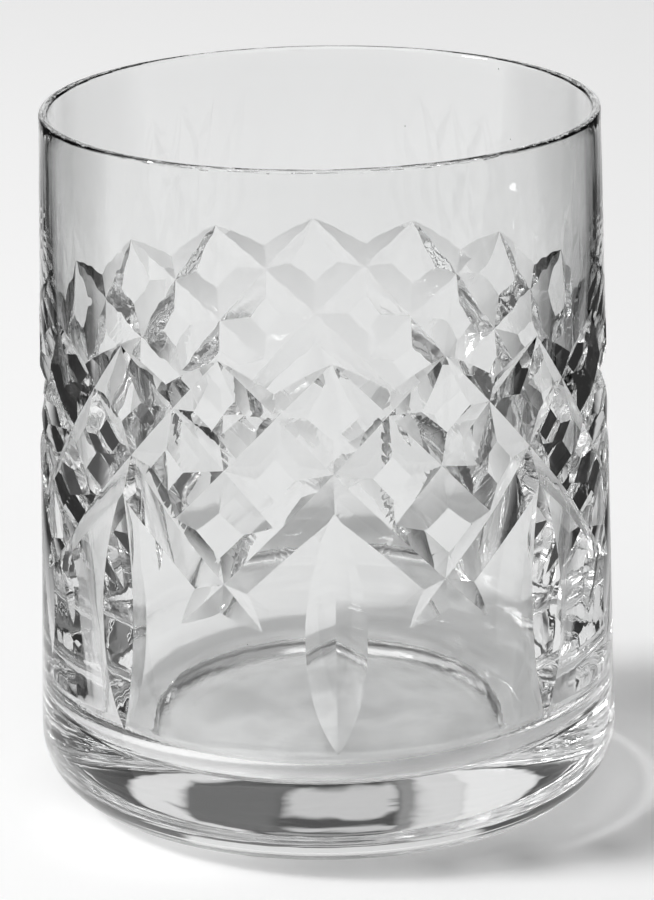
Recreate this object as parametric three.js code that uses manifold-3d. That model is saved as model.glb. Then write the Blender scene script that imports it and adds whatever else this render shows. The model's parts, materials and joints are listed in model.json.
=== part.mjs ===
// Cut crystal tumbler: one piece of clear glass with a thin rim, a heavy foot and a cut lattice
// over eight upright flutes. Millimetres, +Z up, origin at the centre of the foot.
import * as THREE from "three";
import { mergeVertices } from "three/addons/utils/BufferGeometryUtils.js";
import Module from "manifold-3d";

// Driving dimensions of the blank
const HEIGHT = 95;
const RIM_RADIUS = 37.24; // outside, at the rim
const WALL_TAPER = 0.0248; // how much wider the outside gets for each mm downwards
const HEEL_HEIGHT = 9.7; // where the wall starts to turn in towards the foot
const HEEL_POWER = 0.9; // below 1 the heel is a little squarer than an ellipse
const FOOT_RADIUS = 28; // outside of the flat ring that the glass stands on
const HOLLOW_RADIUS = 26.5; // inside of that ring, where the underside starts to rise
const HOLLOW_HEIGHT = 1.2; // how far the underside rises to its centre
const HOLLOW_POWER = 8; // a high power makes it rise close to the ring and stay flat in the middle
const RIM_THICKNESS = 1.25;
const FLOOR_HEIGHT = 10; // top of the solid base, inside the cup
const FLOOR_RADIUS = 22; // flat part of the inside
const THICKENING_START = 88; // below this height the wall gets thicker
const THICKENING_SPAN = 68; // and this far further down it has the extra thickness in full
const EXTRA_THICKNESS = 4.75;
const THICKENING_POWER = 1.8;
const BOWL_TOP = 17; // where the inside wall starts to curve into the floor

// Driving dimensions of the cutting
const REPEATS = 16; // lattice columns round the glass
const FLUTE_EVERY = 2; // a flute stands under every second column
const LATTICE_TOP = 70; // tips of the topmost cuts
const LATTICE_DROP = 15.05; // how far a diagonal cut falls over one column: it runs at 45 degrees
const DIAGONAL_HALF_ANGLE = 67; // degrees, of the V that the wheel leaves
const DIAGONAL_DEPTH = 1.27;
const CROSSING_EXTRA_DEPTH = 0.38; // the wheel goes deeper where it makes the second crossing
const CROSSING_PLACE = 0.95; // columns from the top tip
const CROSSING_REACH = 0.45; // columns over which the extra depth fades
const LONG_COLUMNS = 2.37; // columns that a long diagonal crosses, to the tip of its leg
const LONG_RUN_OUT = 0.45; // columns over which the leg comes back up to the surface
const SHORT_COLUMNS = 1.6;
const SHORT_RUN_OUT = 0.3;
const RUN_IN = 0.62; // columns over which a diagonal sinks to its full depth
const FLUTE_TOP = 51.1;
const FLUTE_BOTTOM = 17.7;
const FLUTE_DEEPEST = 34.4;
const FLUTE_DEPTH = 1.75;
const FLUTE_HALF_ANGLE = 69;
const FLUTE_UPPER_POWER = 1.6; // a low power makes the end slender
const FLUTE_LOWER_POWER = 2.5; // and a high one makes it blunt

// Fineness of the facets
const ROUND_STEPS = 64; // turned by half a facet, so that no cut runs along a facet's edge
const HOLLOW_STEPS = 5;
const HEEL_STEPS = 5;
const LIP_STEPS = 4;
const WALL_STEPS = 5;
const BOWL_STEPS = 5;
const DIAGONAL_STEPS_PER_COLUMN = 4;
const FLUTE_STEPS = 8;
const WELD_DISTANCE = 0.001;
const CUTTER_CLEARANCE = 0.6; // how far a cutter stands out of the wall
const OVERRUN = 0.06; // how far a cutter runs on past its tips, as a share of one column

const COLUMN_ANGLE = (2 * Math.PI) / REPEATS;
const HALF_FACET = Math.PI / ROUND_STEPS; // the facets' middles lie on the true circle
const RIGHT_ANGLE = Math.PI / 2;

const wasm = await Module();
wasm.setup();

function outerRadius(z) {
  return RIM_RADIUS + WALL_TAPER * (HEIGHT - z);
}

function wallThickness(z) {
  const share = Math.max(0, THICKENING_START - z) / THICKENING_SPAN;
  return RIM_THICKNESS + EXTRA_THICKNESS * share ** THICKENING_POWER;
}

function innerRadius(z) {
  return outerRadius(z) - wallThickness(z);
}

// Points of an ellipse about a centre, from one angle to another. A power other than 1 makes it
// squarer or more pointed.
function arc(centreR, centreZ, radiusR, radiusZ, from, to, steps, power = 1) {
  const bend = (value) => Math.sign(value) * Math.abs(value) ** power;
  const points = [];
  for (let i = 0; i <= steps; i += 1) {
    const angle = from + ((to - from) * i) / steps;
    const r = centreR + radiusR * bend(Math.cos(angle));
    const z = centreZ + radiusZ * bend(Math.sin(angle));
    points.push(new THREE.Vector2(r, z));
  }
  return points;
}

// Half section of the uncut blank, from the centre of the foot round the rim to the inside floor
function blankProfile() {
  const heelRadius = outerRadius(HEEL_HEIGHT);
  const lipRadius = RIM_THICKNESS / 2;
  const lipHeight = HEIGHT - lipRadius;
  const lipCentre = outerRadius(lipHeight) - lipRadius;
  const points = [];
  for (let i = 0; i <= HOLLOW_STEPS; i += 1) {
    const share = 1 - (1 - i / HOLLOW_STEPS) ** 2; // closer together towards the ring
    const z = HOLLOW_HEIGHT * (1 - share ** HOLLOW_POWER);
    points.push(new THREE.Vector2(HOLLOW_RADIUS * share, z));
  }
  points.push(...arc(FOOT_RADIUS, HEEL_HEIGHT, heelRadius - FOOT_RADIUS, HEEL_HEIGHT,
    -RIGHT_ANGLE, 0, HEEL_STEPS, HEEL_POWER));
  points.push(...arc(lipCentre, lipHeight, lipRadius, lipRadius, 0, Math.PI, LIP_STEPS));
  for (let i = 0; i < WALL_STEPS; i += 1) {
    const z = THICKENING_START + ((BOWL_TOP - THICKENING_START) * i) / WALL_STEPS;
    points.push(new THREE.Vector2(innerRadius(z), z));
  }
  const bowlRadius = innerRadius(BOWL_TOP);
  points.push(...arc(FLOOR_RADIUS, BOWL_TOP, bowlRadius - FLOOR_RADIUS, BOWL_TOP - FLOOR_HEIGHT,
    0, -RIGHT_ANGLE, BOWL_STEPS));
  points.push(new THREE.Vector2(0, FLOOR_HEIGHT));
  return points;
}

// Joins the corners that lie on one point and drops the triangles that shrink to nothing
function weld(geometry) {
  geometry.deleteAttribute("normal");
  geometry.deleteAttribute("uv");
  const welded = mergeVertices(geometry, WELD_DISTANCE);
  const corners = welded.index.array;
  const kept = [];
  for (let i = 0; i < corners.length; i += 3) {
    const [a, b, c] = corners.slice(i, i + 3);
    if (a !== b && b !== c && c !== a) {
      kept.push(a, b, c);
    }
  }
  welded.setIndex(kept);
  return welded;
}

// A closed three.js geometry as a solid for the boolean cuts
function toSolid(geometry) {
  const welded = weld(geometry);
  return new wasm.Manifold(new wasm.Mesh({
    numProp: 3,
    vertProperties: new Float32Array(welded.attributes.position.array),
    triVerts: new Uint32Array(welded.index.array),
  }));
}

function toGeometry(solid) {
  const mesh = solid.getMesh();
  const geometry = new THREE.BufferGeometry();
  geometry.setAttribute("position", new THREE.BufferAttribute(mesh.vertProperties, 3));
  geometry.setIndex(new THREE.BufferAttribute(mesh.triVerts, 1));
  const welded = weld(geometry);
  welded.computeVertexNormals();
  return welded;
}

// A three-sided cutter swept along the wall. Each station gives its angle round the glass,
// its height, how deep the keel of the V lies and the direction across the cut, as
// (around, up) in the unrolled wall.
function veeCutter(stations, halfAngle) {
  const slope = Math.tan(THREE.MathUtils.degToRad(halfAngle));
  const positions = [];
  for (const { angle, z, depth, across } of stations) {
    const outwards = new THREE.Vector3(Math.sin(angle), -Math.cos(angle), 0);
    const around = new THREE.Vector3(Math.cos(angle), Math.sin(angle), 0);
    const keel = outwards.clone().multiplyScalar(outerRadius(z) - depth);
    keel.z = z;
    const rise = Math.max(depth, 0) + CUTTER_CLEARANCE;
    const shoulder = keel.clone().addScaledVector(outwards, rise);
    const sideways = around.multiplyScalar(across.x);
    sideways.z = across.y;
    sideways.multiplyScalar(rise * slope);
    positions.push(...keel.toArray());
    positions.push(...shoulder.clone().add(sideways).toArray());
    positions.push(...shoulder.clone().sub(sideways).toArray());
  }
  const faces = [0, 2, 1];
  for (let i = 0; i < stations.length - 1; i += 1) {
    for (let side = 0; side < 3; side += 1) {
      const a = 3 * i + side;
      const b = 3 * i + ((side + 1) % 3);
      faces.push(a, b, a + 3, b, b + 3, a + 3);
    }
  }
  const last = 3 * (stations.length - 1);
  faces.push(last, last + 1, last + 2);
  const geometry = new THREE.BufferGeometry();
  geometry.setAttribute("position", new THREE.Float32BufferAttribute(positions, 3));
  geometry.setIndex(faces);
  return geometry;
}

// The same geometry seen in a mirror, so that it leans the other way
function mirrored(geometry) {
  const copy = geometry.clone();
  copy.scale(-1, 1, 1);
  const faces = copy.index.array;
  const turned = [];
  for (let i = 0; i < faces.length; i += 3) {
    turned.push(faces[i], faces[i + 2], faces[i + 1]);
  }
  copy.setIndex(turned);
  return copy;
}

// Rises from 0 to 1 as a wheel sinks into the glass, and goes below 0 ahead of the tip
function sinkIn(share) {
  return 1 - (1 - Math.min(share, 1)) ** 2;
}

// A diagonal cut from the top of the lattice, leaning to the right as it falls
function diagonalCutter(length, runOut) {
  const steps = Math.round(DIAGONAL_STEPS_PER_COLUMN * length);
  const across = new THREE.Vector2(1, 1).normalize();
  const stations = [];
  for (let i = 0; i <= steps; i += 1) {
    const travelled = -OVERRUN + ((length + 2 * OVERRUN) * i) / steps;
    const share = Math.min(sinkIn(travelled / RUN_IN), sinkIn((length - travelled) / runOut));
    const nearCrossing = Math.exp(-(((travelled - CROSSING_PLACE) / CROSSING_REACH) ** 2));
    stations.push({
      angle: travelled * COLUMN_ANGLE,
      z: LATTICE_TOP - LATTICE_DROP * travelled,
      depth: share * (DIAGONAL_DEPTH + CROSSING_EXTRA_DEPTH * nearCrossing),
      across,
    });
  }
  return veeCutter(stations, DIAGONAL_HALF_ANGLE);
}

// An upright flute: a blunt lower end and a slender upper end that meets the lattice
function fluteCutter() {
  const across = new THREE.Vector2(1, 0);
  const overrun = OVERRUN * LATTICE_DROP;
  const low = FLUTE_BOTTOM - overrun;
  const high = FLUTE_TOP + overrun;
  const stations = [];
  for (let i = 0; i <= FLUTE_STEPS; i += 1) {
    const z = high + ((low - high) * i) / FLUTE_STEPS;
    const upper = z > FLUTE_DEEPEST;
    const tip = upper ? FLUTE_TOP : FLUTE_BOTTOM;
    const power = upper ? FLUTE_UPPER_POWER : FLUTE_LOWER_POWER;
    const share = (z - FLUTE_DEEPEST) / (tip - FLUTE_DEEPEST);
    stations.push({ angle: 0, z, depth: FLUTE_DEPTH * (1 - share ** power), across });
  }
  return veeCutter(stations, FLUTE_HALF_ANGLE);
}

function cutGlass() {
  const blank = new THREE.LatheGeometry(blankProfile(), ROUND_STEPS);
  blank.rotateX(RIGHT_ANGLE);
  blank.rotateZ(HALF_FACET);
  blank.scale(1 / Math.cos(HALF_FACET), 1 / Math.cos(HALF_FACET), 1);
  const longCut = diagonalCutter(LONG_COLUMNS, LONG_RUN_OUT);
  const shortCut = diagonalCutter(SHORT_COLUMNS, SHORT_RUN_OUT);
  const flute = fluteCutter();
  let glass = toSolid(blank);
  for (let column = 0; column < REPEATS; column += 1) {
    const overFlute = column % FLUTE_EVERY === 0;
    const diagonal = overFlute ? shortCut : longCut;
    const cuts = [diagonal, mirrored(diagonal)];
    if (overFlute) {
      cuts.push(flute);
    }
    for (const cut of cuts) {
      glass = glass.subtract(toSolid(cut.clone().rotateZ(column * COLUMN_ANGLE)));
    }
  }
  return toGeometry(glass);
}

const clearCrystal = new THREE.MeshStandardMaterial({
  color: 0xeef3f2,
  roughness: 0.04,
  metalness: 0,
  transparent: true,
  opacity: 0.35,
});

const tumbler = new THREE.Mesh(cutGlass(), clearCrystal);
tumbler.name = "tumbler_glass";

const group = new THREE.Group();
group.add(tumbler);

export default group;
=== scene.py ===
import json
import math

import bpy
import numpy as np
from mathutils import Matrix, Vector

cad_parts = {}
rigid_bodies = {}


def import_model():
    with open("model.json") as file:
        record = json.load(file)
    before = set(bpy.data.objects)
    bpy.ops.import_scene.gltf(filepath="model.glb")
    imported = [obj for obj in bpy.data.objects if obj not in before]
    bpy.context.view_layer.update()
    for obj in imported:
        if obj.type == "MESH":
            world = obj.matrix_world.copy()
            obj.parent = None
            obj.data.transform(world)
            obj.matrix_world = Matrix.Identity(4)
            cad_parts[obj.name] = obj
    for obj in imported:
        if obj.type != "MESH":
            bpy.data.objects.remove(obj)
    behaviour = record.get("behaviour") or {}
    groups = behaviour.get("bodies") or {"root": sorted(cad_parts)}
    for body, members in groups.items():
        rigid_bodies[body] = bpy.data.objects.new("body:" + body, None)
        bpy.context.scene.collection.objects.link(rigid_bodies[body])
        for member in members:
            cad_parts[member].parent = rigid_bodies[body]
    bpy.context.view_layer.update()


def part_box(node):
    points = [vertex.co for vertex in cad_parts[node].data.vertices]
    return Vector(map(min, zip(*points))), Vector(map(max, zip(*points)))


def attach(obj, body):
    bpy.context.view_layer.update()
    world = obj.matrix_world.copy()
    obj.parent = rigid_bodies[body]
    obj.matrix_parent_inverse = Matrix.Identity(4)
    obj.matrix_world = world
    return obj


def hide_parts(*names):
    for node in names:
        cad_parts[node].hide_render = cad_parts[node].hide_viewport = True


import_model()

CAD_NODE = "tumbler_glass"
MM = 0.001

# The blank, as the solid has it
LOW_CORNER, HIGH_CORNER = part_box(CAD_NODE)
HEIGHT = HIGH_CORNER.z - LOW_CORNER.z
RIM_RADIUS = 37.24 * MM
WALL_TAPER = 0.0248
HEEL_HEIGHT = 9.7 * MM
HEEL_POWER = 0.9
FOOT_RADIUS = 28 * MM
HOLLOW_RADIUS = 26.5 * MM
HOLLOW_HEIGHT = 1.2 * MM
HOLLOW_POWER = 8
RIM_THICKNESS = 1.25 * MM
FLOOR_HEIGHT = 10 * MM
FLOOR_RADIUS = 22 * MM
THICKENING_START = 88 * MM
THICKENING_SPAN = 68 * MM
EXTRA_THICKNESS = 4.75 * MM
THICKENING_POWER = 1.8
BOWL_TOP = 17 * MM

# The cutting, as the solid has it
REPEATS = 16
FLUTE_EVERY = 2
LATTICE_TOP = 70 * MM
LATTICE_DROP = 15.05 * MM
DIAGONAL_HALF_ANGLE = math.radians(67)
DIAGONAL_DEPTH = 1.27 * MM
CROSSING_EXTRA_DEPTH = 0.38 * MM
CROSSING_PLACE = 0.95
CROSSING_REACH = 0.45
LONG_COLUMNS = 2.37
LONG_RUN_OUT = 0.45
SHORT_COLUMNS = 1.6
SHORT_RUN_OUT = 0.3
RUN_IN = 0.62
FLUTE_TOP = 51.1 * MM
FLUTE_BOTTOM = 17.7 * MM
FLUTE_DEEPEST = 34.4 * MM
FLUTE_DEPTH = 1.75 * MM
FLUTE_HALF_ANGLE = math.radians(69)
FLUTE_UPPER_POWER = 1.6
FLUTE_LOWER_POWER = 2.5
CUTTER_CLEARANCE = 0.6 * MM
OVERRUN = 0.06

# Fineness of the mesh
ROUND_STEPS = 384
HOLLOW_STEPS = 24
FOOT_STEPS = 3
HEEL_STEPS = 28
LIP_STEPS = 16
WALL_STEPS = 40
BOWL_STEPS = 32
FLOOR_STEPS = 6
STEPS_PER_COLUMN = 24
FLUTE_STEPS = 48
SHARP_ANGLE = math.radians(9)
# How far a wall vertex may lie from the true wall, in sags of a chord, and a length that counts as nothing
WALL_TOLERANCE = 1.5
TINY = 0.001 * MM

COLUMN_ANGLE = 2 * math.pi / REPEATS

# The camera, fitted to the rim, the outline and the crossings of the cuts
CAMERA_DISTANCE = 614.3 * MM
CAMERA_HEIGHT = 235.4 * MM
CAMERA_PITCH = math.radians(17.044)
CAMERA_YAW = math.radians(0.03)
CAMERA_ROLL = math.radians(0.86)
FLUTE_OFFSET = math.radians(1.72)
FRAME_HEIGHT_PX = 900
FOCAL_LENGTH_PX = 4744.9
SENSOR_MM = 36
NEAREST_SEEN = 10 * MM
FARTHEST_SEEN = 20

# Light runs through cut glass by many inner reflections
LIGHT_BOUNCES = 24

# The glass, and how wide and how high the unevenness of its surface is
GLASS_IOR = 1.545
GLASS_TINT = (0.914, 0.918, 0.917)
SPECK_TINT = (0.25, 0.25, 0.24)
WAVE_WIDTH = 11 * MM
WAVE_HEIGHT = 0.035 * MM
STREAK_WIDTH = 3 * MM
STREAK_HEIGHT = 0.018 * MM
STREAK_SLENDERNESS = 0.04
RING_WIDTH = 1.6 * MM
RING_HEIGHT = 0.04 * MM
GRAIN_WIDTH = 0.5 * MM
GRAIN_HEIGHT = 0.016 * MM
COARSE_DETAIL = 1
FINE_DETAIL = 2
BOWL_MARGIN = 1 * MM
BOWL_FADE = 0.5 * MM
SPECK_SPACING = 7 * MM
SPECK_SIZE = 0.016
SPECK_ROUGHNESS = 0.4

# The studio: its floor lies a hair below the foot
STUDIO_FLOOR_RADIUS = 3
STUDIO_FLOOR_STEPS = 128
STUDIO_FLOOR_DROP = 0.1 * MM
FLOOR_ROUGHNESS = 0.9
FLOOR_SHEEN = 0.1
FLOOR_ALBEDO = 0.86
FLOOR_GLOW = 0.215
ROOM_LEVEL = 0.03
BACKGROUND_LEVEL = 0.86
# Pale panes: bearings from the back, positive to the left, heights above the horizon, softness, all of
# them in degrees, and level
PANES = [
    ((-24, 21), (-10, 14), 2, 0.76),
    ((-8, 7), (19, 25), 1.5, 0.57),
    ((-14, 9), (29, 37), 2, 0.3),
    ((-26, -8), (14, 27), 2, 0.11),
    ((7, 12), (15, 30), 1.5, 0.25),
    ((10, 20), (15, 44), 2, 0.7),
    ((18, 35), (15, 42), 2, 0.85),
    ((-36, -25), (17, 50), 2, 0.76),
    ((-33, -17), (27.5, 46), 2, 0.76),
    ((68, 136), (6, 62), 6, 0.86),
    ((25, 115), (52, 73), 6, 0.95),
    ((-122, -68), (8, 26), 4, 0.24),
    ((-200, 200), (57, 95), 8, 0.42),
    ((-168, -140), (15, 48), 5, 1.0),
]
# The room isn't made of straight things: how far the panes' outlines wander, in degrees, and how often
PANE_WANDER = 9.6
WANDER_SCALE = 7
# Dark cards that lie on the floor beside the glass, with their corners in metres. Their edges are soft,
# the more so the farther away
CARD_HEIGHT = 0.3 * MM
CARD_SHADE = 0.03
CARD_EDGE_LEVEL = 0.8
CARD_SOFTNESS = 0.13
CARDS = [
    ("left_card", [(-0.062, -0.03), (-0.075, 0.12), (-0.13, 0.3), (-0.3, 0.8), (-1.0, 2.4),
                   (-2.8, 0.6), (-0.9, 0.2), (-0.25, 0.05), (-0.12, 0)]),
    ("right_card", [(0.062, -0.04), (0.07, 0.1), (0.1, 0.22), (0.16, 0.36), (0.4, 0.8), (0.95, 2.2),
                    (1.6, 2.9), (2.9, 0.5), (0.9, 0.16), (0.3, 0.02), (0.12, -0.035)]),
]
# Lamps: name, place, aim, size in metres, power in watts
LAMPS = [
    ("key_lamp", (-0.94, -0.1, 0.85), (0, 0, 0.04), (0.28, 0.28), 8.7),
    ("fill_lamp", (-0.3, -0.7, 1.45), (0, 0, 0), (1.2, 1.2), 3.9),
]
# Pools of light that the base of the glass gathers on the floor, painted into the floor's glow: centre,
# radius and softness in metres, level
LIGHT_POOLS = [
    ((-0.018, -0.016), 0.016, 0.011, 0.25),
    ((0.024, -0.004), 0.019, 0.006, 0.07),
]
# A painted bright arc that ends this light at the right: centre, inner and outer radius, softness, level
ARC_CENTRE = (0.013, -0.002)
ARC_RADII = (30.9 * MM, 32.3 * MM)
ARC_SOFTNESS = 1.3 * MM
ARC_LEVEL = 0.16
ARC_FROM_X = 31 * MM
ARC_FADE = 4 * MM
# Painted shade beside it, which darkens the floor's colour and glow: centre, radius and softness in
# metres, share of the floor's light that is lost
SHADE = [
    ((0.053, 0.030), 0.010, 0.010, 0.25),
    ((0.047, -0.022), 0.005, 0.008, 0.45),
    ((0.036, -0.0285), 0.003, 0.007, 0.45),
    ((0.025, -0.032), 0.003, 0.007, 0.45),
    ((0.014, -0.0345), 0.002, 0.006, 0.3),
]
# Painted bright threads in that light
LIGHT_THREAD_WIDTH = 14 * MM
LIGHT_THREAD_SHARPNESS = 7
LIGHT_THREAD_LEVEL = 0.17
LIGHT_THREAD_REACH = 26 * MM
LIGHT_THREAD_FADE = LIGHT_THREAD_REACH / 3


def outer_radius(z):
    return RIM_RADIUS + WALL_TAPER * (HEIGHT - z)


def inner_radius(z):
    share = max(0.0, THICKENING_START - z) / THICKENING_SPAN
    return outer_radius(z) - RIM_THICKNESS - EXTRA_THICKNESS * share ** THICKENING_POWER


def bend(value, power):
    return math.copysign(abs(value) ** power, value)


def arc(centre, radii, start, end, steps, power=1):
    """Points (r, z) of an ellipse about centre, both ends included, squarer where power is below 1."""
    return [(centre[0] + radii[0] * bend(math.cos(a), power),
             centre[1] + radii[1] * bend(math.sin(a), power))
            for a in np.linspace(start, end, steps + 1)]


def blank_profile():
    """Half section of the uncut blank, from the centre of the foot to the centre of the inside floor."""
    quarter = math.pi / 2
    lip_radius = RIM_THICKNESS / 2
    lip_height = HEIGHT - lip_radius
    lip_centre = outer_radius(lip_height) - lip_radius
    bowl_radius = inner_radius(BOWL_TOP)
    shares = [1 - (1 - i / HOLLOW_STEPS) ** 2 for i in range(HOLLOW_STEPS)]
    points = [(HOLLOW_RADIUS * share, HOLLOW_HEIGHT * (1 - share ** HOLLOW_POWER))
              for share in shares]
    points += [(r, 0.0) for r in np.linspace(HOLLOW_RADIUS, FOOT_RADIUS, FOOT_STEPS + 1)[:-1]]
    points += arc((FOOT_RADIUS, HEEL_HEIGHT), (outer_radius(HEEL_HEIGHT) - FOOT_RADIUS, HEEL_HEIGHT),
                  -quarter, 0, HEEL_STEPS, HEEL_POWER)
    points += arc((lip_centre, lip_height), (lip_radius, lip_radius), 0, math.pi, LIP_STEPS)
    for z in np.linspace(lip_height, BOWL_TOP, WALL_STEPS + 1)[1:-1]:
        points.append((inner_radius(z), z))
    points += arc((FLOOR_RADIUS, BOWL_TOP), (bowl_radius - FLOOR_RADIUS, BOWL_TOP - FLOOR_HEIGHT),
                  0, -quarter, BOWL_STEPS)
    points += [(FLOOR_RADIUS * (1 - i / FLOOR_STEPS), FLOOR_HEIGHT) for i in range(1, FLOOR_STEPS + 1)]
    return points


def revolved_mesh(name, profile, steps):
    """A closed mesh made by turning a profile, which starts and ends on the Z axis, round that axis."""
    ring = profile[1:-1]
    vertices = [(0.0, 0.0, profile[0][1])]
    for r, z in ring:
        for k in range(steps):
            a = 2 * math.pi * (k + 0.5) / steps
            vertices.append((r * math.sin(a), -r * math.cos(a), z))
    vertices.append((0.0, 0.0, profile[-1][1]))
    last = len(vertices) - 1
    faces = []
    for k in range(steps):
        n = (k + 1) % steps
        faces.append((0, 1 + n, 1 + k))
        for i in range(len(ring) - 1):
            low, high = 1 + i * steps, 1 + (i + 1) * steps
            faces.append((low + k, low + n, high + n, high + k))
        top = 1 + (len(ring) - 1) * steps
        faces.append((top + k, top + n, last))
    mesh = bpy.data.meshes.new(name)
    mesh.from_pydata(vertices, [], faces)
    mesh.update()
    return mesh


def vee_mesh(name, stations, half_angle, across):
    """A three-sided cutter swept along the wall. Stations are (angle, height, depth of the keel)."""
    slope = math.tan(half_angle)
    vertices = []
    for angle, z, depth in stations:
        outwards = Vector((math.sin(angle), -math.cos(angle), 0))
        around = Vector((math.cos(angle), math.sin(angle), 0))
        keel = outwards * (outer_radius(z) - depth) + Vector((0, 0, z))
        rise = max(depth, 0) + CUTTER_CLEARANCE
        sideways = (around * across[0] + Vector((0, 0, across[1]))) * rise * slope
        shoulder = keel + outwards * rise
        vertices += [keel, shoulder + sideways, shoulder - sideways]
    last = 3 * (len(stations) - 1)
    faces = [(0, 2, 1), (last, last + 1, last + 2)]
    for i in range(len(stations) - 1):
        for side in range(3):
            a, b = 3 * i + side, 3 * i + (side + 1) % 3
            faces += [(a, b, a + 3), (b, b + 3, a + 3)]
    mesh = bpy.data.meshes.new(name)
    mesh.from_pydata([tuple(v) for v in vertices], [], faces)
    mesh.update()
    return mesh


def sink_in(share):
    return 1 - (1 - min(share, 1)) ** 2


def diagonal_stations(length, run_out):
    steps = round(STEPS_PER_COLUMN * length)
    stations = []
    for travelled in np.linspace(-OVERRUN, length + OVERRUN, steps + 1):
        share = min(sink_in(travelled / RUN_IN), sink_in((length - travelled) / run_out))
        near_crossing = math.exp(-((travelled - CROSSING_PLACE) / CROSSING_REACH) ** 2)
        depth = share * (DIAGONAL_DEPTH + CROSSING_EXTRA_DEPTH * near_crossing)
        stations.append((travelled * COLUMN_ANGLE, LATTICE_TOP - LATTICE_DROP * travelled, depth))
    return stations


def flute_stations():
    overrun = OVERRUN * LATTICE_DROP
    stations = []
    for z in np.linspace(FLUTE_TOP + overrun, FLUTE_BOTTOM - overrun, FLUTE_STEPS + 1):
        upper = z > FLUTE_DEEPEST
        tip = FLUTE_TOP if upper else FLUTE_BOTTOM
        power = FLUTE_UPPER_POWER if upper else FLUTE_LOWER_POWER
        share = (z - FLUTE_DEEPEST) / (tip - FLUTE_DEEPEST)
        stations.append((0.0, z, FLUTE_DEPTH * (1 - share ** power)))
    return stations


def mirrored(mesh):
    copy = mesh.copy()
    copy.transform(Matrix.Scale(-1, 4, (1, 0, 0)))
    copy.flip_normals()
    return copy


def cutters():
    """A collection with every wheel cut in its place."""
    diagonal_across = (math.sqrt(0.5), math.sqrt(0.5))
    long_cut = vee_mesh("long_cut", diagonal_stations(LONG_COLUMNS, LONG_RUN_OUT),
                        DIAGONAL_HALF_ANGLE, diagonal_across)
    short_cut = vee_mesh("short_cut", diagonal_stations(SHORT_COLUMNS, SHORT_RUN_OUT),
                         DIAGONAL_HALF_ANGLE, diagonal_across)
    flute = vee_mesh("flute", flute_stations(), FLUTE_HALF_ANGLE, (1, 0))
    long_pair = [long_cut, mirrored(long_cut)]
    short_pair = [short_cut, mirrored(short_cut)]
    collection = bpy.data.collections.new("cutters")
    bpy.context.scene.collection.children.link(collection)
    for column in range(REPEATS):
        meshes = short_pair + [flute] if column % FLUTE_EVERY == 0 else long_pair
        for mesh in meshes:
            cutter = bpy.data.objects.new(f"cutter_{column}", mesh)
            cutter.rotation_euler.z = column * COLUMN_ANGLE
            collection.objects.link(cutter)
    return collection


def cut_glass():
    """The finished glass: the blank with every cut taken out, sharp at the edges of the cuts."""
    blank = bpy.data.objects.new("tumbler_cut_glass", revolved_mesh("blank", blank_profile(), ROUND_STEPS))
    bpy.context.scene.collection.objects.link(blank)
    collection = cutters()
    cut = blank.modifiers.new("cut", "BOOLEAN")
    cut.operation = "DIFFERENCE"
    cut.operand_type = "COLLECTION"
    cut.collection = collection
    cut.solver = "MANIFOLD"
    bpy.context.view_layer.update()
    evaluated = blank.evaluated_get(bpy.context.evaluated_depsgraph_get())
    mesh = bpy.data.meshes.new_from_object(evaluated)
    blank.modifiers.clear()
    blank.data = mesh
    for cutter in list(collection.objects):
        bpy.data.objects.remove(cutter)
    bpy.data.collections.remove(collection)
    smooth_shading(mesh)
    return blank


def smooth_shading(mesh):
    """Smooth faces, hard edges where two cuts meet, and the exact normals of the turned outside wall."""
    mesh.polygons.foreach_set("use_smooth", [True] * len(mesh.polygons))
    mesh.set_sharp_from_angle(angle=SHARP_ANGLE)
    mesh.update()
    places = np.empty(len(mesh.vertices) * 3, np.float32)
    mesh.vertices.foreach_get("co", places)
    places = places.reshape(-1, 3)
    radii = np.hypot(places[:, 0], places[:, 1])
    wall_radii = RIM_RADIUS + WALL_TAPER * (HEIGHT - places[:, 2])
    chord_sag = RIM_RADIUS * (1 - math.cos(math.pi / ROUND_STEPS))
    on_wall = np.abs(radii - wall_radii) < WALL_TOLERANCE * chord_sag
    on_wall &= places[:, 2] > HEEL_HEIGHT - TINY
    on_wall &= places[:, 2] < HEIGHT - RIM_THICKNESS / 2 + TINY
    normals = np.empty(len(mesh.loops) * 3, np.float32)
    mesh.corner_normals.foreach_get("vector", normals)
    normals = normals.reshape(-1, 3)
    corner_vertices = np.empty(len(mesh.loops), np.int32)
    mesh.loops.foreach_get("vertex_index", corner_vertices)
    starts = np.empty(len(mesh.polygons), np.int32)
    totals = np.empty(len(mesh.polygons), np.int32)
    mesh.polygons.foreach_get("loop_start", starts)
    mesh.polygons.foreach_get("loop_total", totals)
    wall_corner = on_wall[corner_vertices]
    for start, total in zip(starts, totals):
        corners = slice(start, start + total)
        if wall_corner[corners].all():
            v = places[corner_vertices[corners]]
            exact = np.column_stack((v[:, 0], v[:, 1], np.hypot(v[:, 0], v[:, 1]) * WALL_TAPER))
            normals[corners] = exact / np.linalg.norm(exact, axis=1)[:, None]
    mesh.normals_split_custom_set(normals.tolist())


def math_node(tree, operation, *values):
    """The outcome of a sum on numbers and sockets."""
    node = tree.nodes.new("ShaderNodeMath")
    node.operation = operation
    for socket, value in zip(node.inputs, values):
        if isinstance(value, (int, float)):
            socket.default_value = value
        else:
            tree.links.new(value, socket)
    return node.outputs[0]


def between(tree, value, low, high, soft):
    """1 where the value lies between low and high, with soft edges."""
    shares = []
    for edge, start, end in ((low, 0, 1), (high, 1, 0)):
        ramp = tree.nodes.new("ShaderNodeMapRange")
        ramp.interpolation_type = "SMOOTHSTEP"
        tree.links.new(value, ramp.inputs["Value"])
        ramp.inputs["From Min"].default_value = edge - soft
        ramp.inputs["From Max"].default_value = edge + soft
        ramp.inputs["To Min"].default_value = start
        ramp.inputs["To Max"].default_value = end
        shares.append(ramp.outputs["Result"])
    return math_node(tree, "MULTIPLY", *shares)


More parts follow.
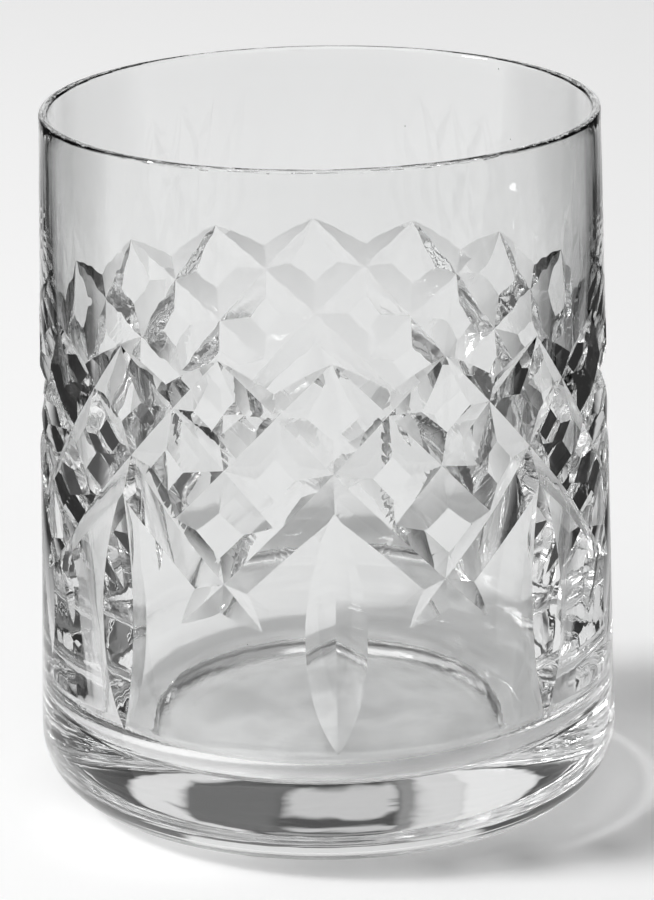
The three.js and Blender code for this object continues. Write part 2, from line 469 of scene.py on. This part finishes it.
def distance(tree, place, centre):
    """How far a place is from a centre."""
    away = tree.nodes.new("ShaderNodeVectorMath")
    away.operation = "DISTANCE"
    tree.links.new(place, away.inputs[0])
    away.inputs[1].default_value = centre
    return away.outputs["Value"]


def noise(tree, place, width, detail):
    """Soft random unevenness between 0 and 1, with features of a given width."""
    texture = tree.nodes.new("ShaderNodeTexNoise")
    texture.inputs["Scale"].default_value = 1 / width
    texture.inputs["Detail"].default_value = detail
    tree.links.new(place, texture.inputs["Vector"])
    return texture.outputs[0]


def uneven(tree, place, width, height, detail):
    return math_node(tree, "MULTIPLY", noise(tree, place, width, detail), height)


def crystal_material():
    """Clear polished crystal: a slightly wavy blown wall with upright streaks, turning rings and grain on
    the inside floor, and a few specks of dust."""
    material = bpy.data.materials.new("clear_crystal")
    material.use_nodes = True
    tree = material.node_tree
    principled = tree.nodes["Principled BSDF"]
    principled.inputs["IOR"].default_value = GLASS_IOR
    principled.inputs["Transmission Weight"].default_value = 1
    place = tree.nodes.new("ShaderNodeTexCoord").outputs["Object"]
    split = tree.nodes.new("ShaderNodeSeparateXYZ")
    tree.links.new(place, split.inputs[0])
    x, y, z = split.outputs
    squares = math_node(tree, "ADD", math_node(tree, "MULTIPLY", x, x), math_node(tree, "MULTIPLY", y, y))
    radius = math_node(tree, "SQRT", squares)
    upright = tree.nodes.new("ShaderNodeCombineXYZ")
    tree.links.new(x, upright.inputs[0])
    tree.links.new(y, upright.inputs[1])
    tree.links.new(math_node(tree, "MULTIPLY", z, STREAK_SLENDERNESS), upright.inputs[2])
    turned = tree.nodes.new("ShaderNodeCombineXYZ")
    tree.links.new(radius, turned.inputs[0])
    # the floor of the cup: above the underside and within the bowl
    bowl_edge = inner_radius(BOWL_TOP) + BOWL_MARGIN
    in_bowl = math_node(tree, "MULTIPLY", between(tree, radius, -1, bowl_edge, BOWL_FADE),
                        between(tree, z, FLOOR_HEIGHT - BOWL_MARGIN, BOWL_TOP, BOWL_FADE))
    waves = uneven(tree, place, WAVE_WIDTH, WAVE_HEIGHT, COARSE_DETAIL)
    streaks = uneven(tree, upright.outputs[0], STREAK_WIDTH, STREAK_HEIGHT, COARSE_DETAIL)
    rings = uneven(tree, turned.outputs[0], RING_WIDTH, RING_HEIGHT, FINE_DETAIL)
    grain = uneven(tree, place, GRAIN_WIDTH, GRAIN_HEIGHT, FINE_DETAIL)
    turning = math_node(tree, "MULTIPLY", in_bowl, math_node(tree, "ADD", rings, grain))
    blowing = math_node(tree, "ADD", waves, streaks)
    bump = tree.nodes.new("ShaderNodeBump")
    bump.inputs["Distance"].default_value = 1
    tree.links.new(math_node(tree, "ADD", turning, blowing), bump.inputs["Height"])
    tree.links.new(bump.outputs["Normal"], principled.inputs["Normal"])
    cells = tree.nodes.new("ShaderNodeTexVoronoi")
    cells.inputs["Scale"].default_value = 1 / SPECK_SPACING
    tree.links.new(place, cells.inputs["Vector"])
    speck = math_node(tree, "LESS_THAN", cells.outputs["Distance"], SPECK_SIZE)
    tint = tree.nodes.new("ShaderNodeMix")
    tint.data_type = "RGBA"
    tree.links.new(speck, tint.inputs["Factor"])
    tint.inputs["A"].default_value = (*GLASS_TINT, 1)
    tint.inputs["B"].default_value = (*SPECK_TINT, 1)
    tree.links.new(tint.outputs["Result"], principled.inputs["Base Color"])
    roughness = math_node(tree, "MULTIPLY", speck, SPECK_ROUGHNESS)
    tree.links.new(roughness, principled.inputs["Roughness"])
    return material


def light_kept(tree, place):
    """The share of the floor's colour and glow that the shade painted beside the glass leaves."""
    kept = 1
    for (x, y), radius, soft, share in SHADE:
        shade = between(tree, distance(tree, place, (x, y, 0)), -1, radius, soft)
        lost = math_node(tree, "MULTIPLY", shade, math_node(tree, "MULTIPLY", kept, share))
        kept = math_node(tree, "SUBTRACT", kept, lost)
    return kept


def gathered_light(tree, place):
    """Light painted into the floor's glow for what the glass gathers there: pools, an arc at the right,
    and threads under the base, which are bright where a slow noise passes its middle value."""
    split = tree.nodes.new("ShaderNodeSeparateXYZ")
    tree.links.new(place, split.inputs[0])
    at_right = between(tree, split.outputs[0], ARC_FROM_X, STUDIO_FLOOR_RADIUS, ARC_FADE)
    on_arc = between(tree, distance(tree, place, (*ARC_CENTRE, 0)), *ARC_RADII, ARC_SOFTNESS)
    light = math_node(tree, "MULTIPLY", math_node(tree, "MULTIPLY", on_arc, at_right), ARC_LEVEL)
    for (x, y), radius, soft, level in LIGHT_POOLS:
        share = between(tree, distance(tree, place, (x, y, 0)), -1, radius, soft)
        light = math_node(tree, "ADD", light, math_node(tree, "MULTIPLY", share, level))
    aside = math_node(tree, "SUBTRACT", noise(tree, place, LIGHT_THREAD_WIDTH, FINE_DETAIL), 0.5)
    slope = math_node(tree, "MULTIPLY", math_node(tree, "ABSOLUTE", aside), LIGHT_THREAD_SHARPNESS)
    thread = math_node(tree, "MAXIMUM", 0, math_node(tree, "SUBTRACT", 1, slope))
    near = between(tree, distance(tree, place, (0, 0, 0)), -1, LIGHT_THREAD_REACH, LIGHT_THREAD_FADE)
    threads = math_node(tree, "MULTIPLY", math_node(tree, "MULTIPLY", thread, near), LIGHT_THREAD_LEVEL)
    return math_node(tree, "ADD", light, threads)


def floor_material():
    """Pale card: part of its brightness comes from the lamps, so that it keeps the glass's shadow. Shade
    beside the glass and light that the glass gathers are painted into its colour and glow.
    """
    material = bpy.data.materials.new("pale_floor")
    material.use_nodes = True
    tree = material.node_tree
    principled = tree.nodes["Principled BSDF"]
    principled.inputs["Roughness"].default_value = FLOOR_ROUGHNESS
    principled.inputs["Specular IOR Level"].default_value = FLOOR_SHEEN
    principled.inputs["Emission Color"].default_value = (1, 1, 1, 1)
    place = tree.nodes.new("ShaderNodeTexCoord").outputs["Object"]
    kept = light_kept(tree, place)
    # the painted shade dims the floor's even glow
    own_glow = math_node(tree, "MULTIPLY", kept, FLOOR_GLOW)
    # painted pools, arc and threads of gathered light are added to the glow
    glow = math_node(tree, "ADD", own_glow, gathered_light(tree, place))
    tree.links.new(glow, principled.inputs["Emission Strength"])
    # the painted shade also darkens the floor's colour
    albedo = tree.nodes.new("ShaderNodeCombineColor")
    for socket in albedo.inputs[:3]:
        tree.links.new(math_node(tree, "MULTIPLY", kept, FLOOR_ALBEDO), socket)
    tree.links.new(albedo.outputs[0], principled.inputs["Base Color"])
    return material


def make_floor():
    bpy.ops.mesh.primitive_circle_add(vertices=STUDIO_FLOOR_STEPS, radius=STUDIO_FLOOR_RADIUS,
                                      fill_type="NGON", location=(0, 0, -STUDIO_FLOOR_DROP))
    floor = bpy.context.object
    floor.name = "studio_floor"
    material = floor_material()
    floor.data.materials.append(material)
    material.cycles.emission_sampling = "NONE"
    return floor


def edge_offsets(outline):
    """For each corner, a step out of the outline, half as long as the soft edge there is wide."""
    area = sum(a[0] * b[1] - b[0] * a[1] for a, b in zip(outline, outline[1:] + outline[:1]))
    offsets = []
    for i, (x, y) in enumerate(outline):
        before, after = Vector(outline[i - 1]), Vector(outline[(i + 1) % len(outline)])
        along = (after - before).normalized()
        reach = math.copysign(CARD_SOFTNESS * math.hypot(x, y), area)
        offsets.append((along.y * reach, -along.x * reach))
    return offsets


def make_card(name, outline):
    """A dark card on the floor, with soft edges. The camera doesn't see it, but the glass shows it."""
    offsets = edge_offsets(outline)
    pale = [(x + dx, y + dy, CARD_HEIGHT) for (x, y), (dx, dy) in zip(outline, offsets)]
    dark = [(x - dx, y - dy, CARD_HEIGHT) for (x, y), (dx, dy) in zip(outline, offsets)]
    count = len(outline)
    faces = [(i, (i + 1) % count, count + (i + 1) % count, count + i) for i in range(count)]
    faces.append(tuple(range(count, 2 * count)))
    mesh = bpy.data.meshes.new(name)
    mesh.from_pydata(pale + dark, [], faces)
    paleness = mesh.attributes.new("paleness", "FLOAT", "POINT")
    paleness.data.foreach_set("value", [1.0] * count + [0.0] * count)
    material = bpy.data.materials.new(name)
    material.use_nodes = True
    tree = material.node_tree
    principled = tree.nodes["Principled BSDF"]
    principled.inputs["Base Color"].default_value = (0, 0, 0, 1)
    principled.inputs["Specular IOR Level"].default_value = 0
    principled.inputs["Emission Color"].default_value = (1, 1, 1, 1)
    share = tree.nodes.new("ShaderNodeAttribute")
    share.attribute_name = "paleness"
    level = math_node(tree, "MULTIPLY", share.outputs["Fac"], CARD_EDGE_LEVEL - CARD_SHADE)
    tree.links.new(math_node(tree, "ADD", level, CARD_SHADE), principled.inputs["Emission Strength"])
    material.cycles.emission_sampling = "NONE"
    mesh.materials.append(material)
    card = bpy.data.objects.new(name, mesh)
    bpy.context.scene.collection.objects.link(card)
    card.visible_camera = False
    card.visible_diffuse = False
    card.visible_shadow = False
    return card


def make_camera():
    data = bpy.data.cameras.new("camera")
    data.sensor_width = SENSOR_MM
    data.lens = SENSOR_MM * FOCAL_LENGTH_PX / FRAME_HEIGHT_PX
    data.clip_start = NEAREST_SEEN
    data.clip_end = FARTHEST_SEEN
    camera = bpy.data.objects.new("camera", data)
    bpy.context.scene.collection.objects.link(camera)
    azimuth = -FLUTE_OFFSET
    camera.location = (math.sin(azimuth) * CAMERA_DISTANCE, -math.cos(azimuth) * CAMERA_DISTANCE,
                       CAMERA_HEIGHT)
    turned = Matrix.Rotation(azimuth - CAMERA_YAW, 4, "Z")
    tilted = Matrix.Rotation(math.pi / 2 - CAMERA_PITCH, 4, "X")
    rolled = Matrix.Rotation(-CAMERA_ROLL, 4, "Z")
    camera.rotation_mode = "QUATERNION"
    camera.rotation_quaternion = (turned @ tilted @ rolled).to_quaternion()
    bpy.context.scene.camera = camera
    return camera


def area_light(name, place, aim, size, power):
    data = bpy.data.lights.new(name, "AREA")
    data.shape = "RECTANGLE"
    data.size, data.size_y = size
    data.energy = power
    light = bpy.data.objects.new(name, data)
    light.location = place
    light.rotation_mode = "QUATERNION"
    light.rotation_quaternion = (Vector(aim) - Vector(place)).to_track_quat("-Z", "Y")
    bpy.context.scene.collection.objects.link(light)
    return light


def wandering(tree, angle, shift):
    """An angle moved to and fro by a noise, by as much as the panes' outlines wander."""
    centred = math_node(tree, "SUBTRACT", shift, 0.5)
    return math_node(tree, "ADD", angle, math_node(tree, "MULTIPLY", centred, PANE_WANDER))


def make_world():
    """A dim room with pale panes round it. The camera itself sees an even pale background."""
    world = bpy.data.worlds.new("studio")
    world.use_nodes = True
    tree = world.node_tree
    background = tree.nodes["Background"]
    background.inputs["Color"].default_value = (1, 1, 1, 1)
    place = tree.nodes.new("ShaderNodeTexCoord").outputs["Generated"]
    split = tree.nodes.new("ShaderNodeSeparateXYZ")
    tree.links.new(place, split.inputs[0])
    x, y, z = split.outputs
    # bearing from the back, positive towards the left, and height above the horizon, both in degrees
    leftwards = math_node(tree, "MULTIPLY", x, -1)
    bearing = math_node(tree, "MULTIPLY", math_node(tree, "ARCTAN2", leftwards, y), math.degrees(1))
    height = math_node(tree, "MULTIPLY", math_node(tree, "ARCSINE", z), math.degrees(1))
    wander = tree.nodes.new("ShaderNodeTexNoise")
    wander.inputs["Scale"].default_value = WANDER_SCALE
    wander.inputs["Detail"].default_value = FINE_DETAIL
    tree.links.new(place, wander.inputs["Vector"])
    shifts = tree.nodes.new("ShaderNodeSeparateColor")
    tree.links.new(wander.outputs["Color"], shifts.inputs[0])
    bearing = wandering(tree, bearing, shifts.outputs[0])
    height = wandering(tree, height, shifts.outputs[1])
    light = ROOM_LEVEL
    for (left, right), (low, high), soft, level in PANES:
        pane = math_node(tree, "MULTIPLY", between(tree, bearing, left, right, soft),
                         between(tree, height, low, high, soft))
        light = math_node(tree, "MAXIMUM", light, math_node(tree, "MULTIPLY", pane, level))
    is_camera = tree.nodes.new("ShaderNodeLightPath").outputs["Is Camera Ray"]
    seen = tree.nodes.new("ShaderNodeMix")
    tree.links.new(is_camera, seen.inputs["Factor"])
    tree.links.new(light, seen.inputs["A"])
    seen.inputs["B"].default_value = BACKGROUND_LEVEL
    tree.links.new(seen.outputs["Result"], background.inputs["Strength"])
    bpy.context.scene.world = world
    return world


glass = cut_glass()
glass.data.materials.clear()
glass.data.materials.append(crystal_material())
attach(glass, "root")
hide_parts(CAD_NODE)

make_floor()
for name, outline in CARDS:
    make_card(name, outline)
make_world()
for name, place, aim, size, power in LAMPS:
    area_light(name, place, aim, size, power)
make_camera()
bpy.context.scene.view_settings.view_transform = "Standard"
bpy.context.scene.cycles.max_bounces = LIGHT_BOUNCES
bpy.context.scene.cycles.glossy_bounces = LIGHT_BOUNCES
bpy.context.scene.cycles.transmission_bounces = LIGHT_BOUNCES
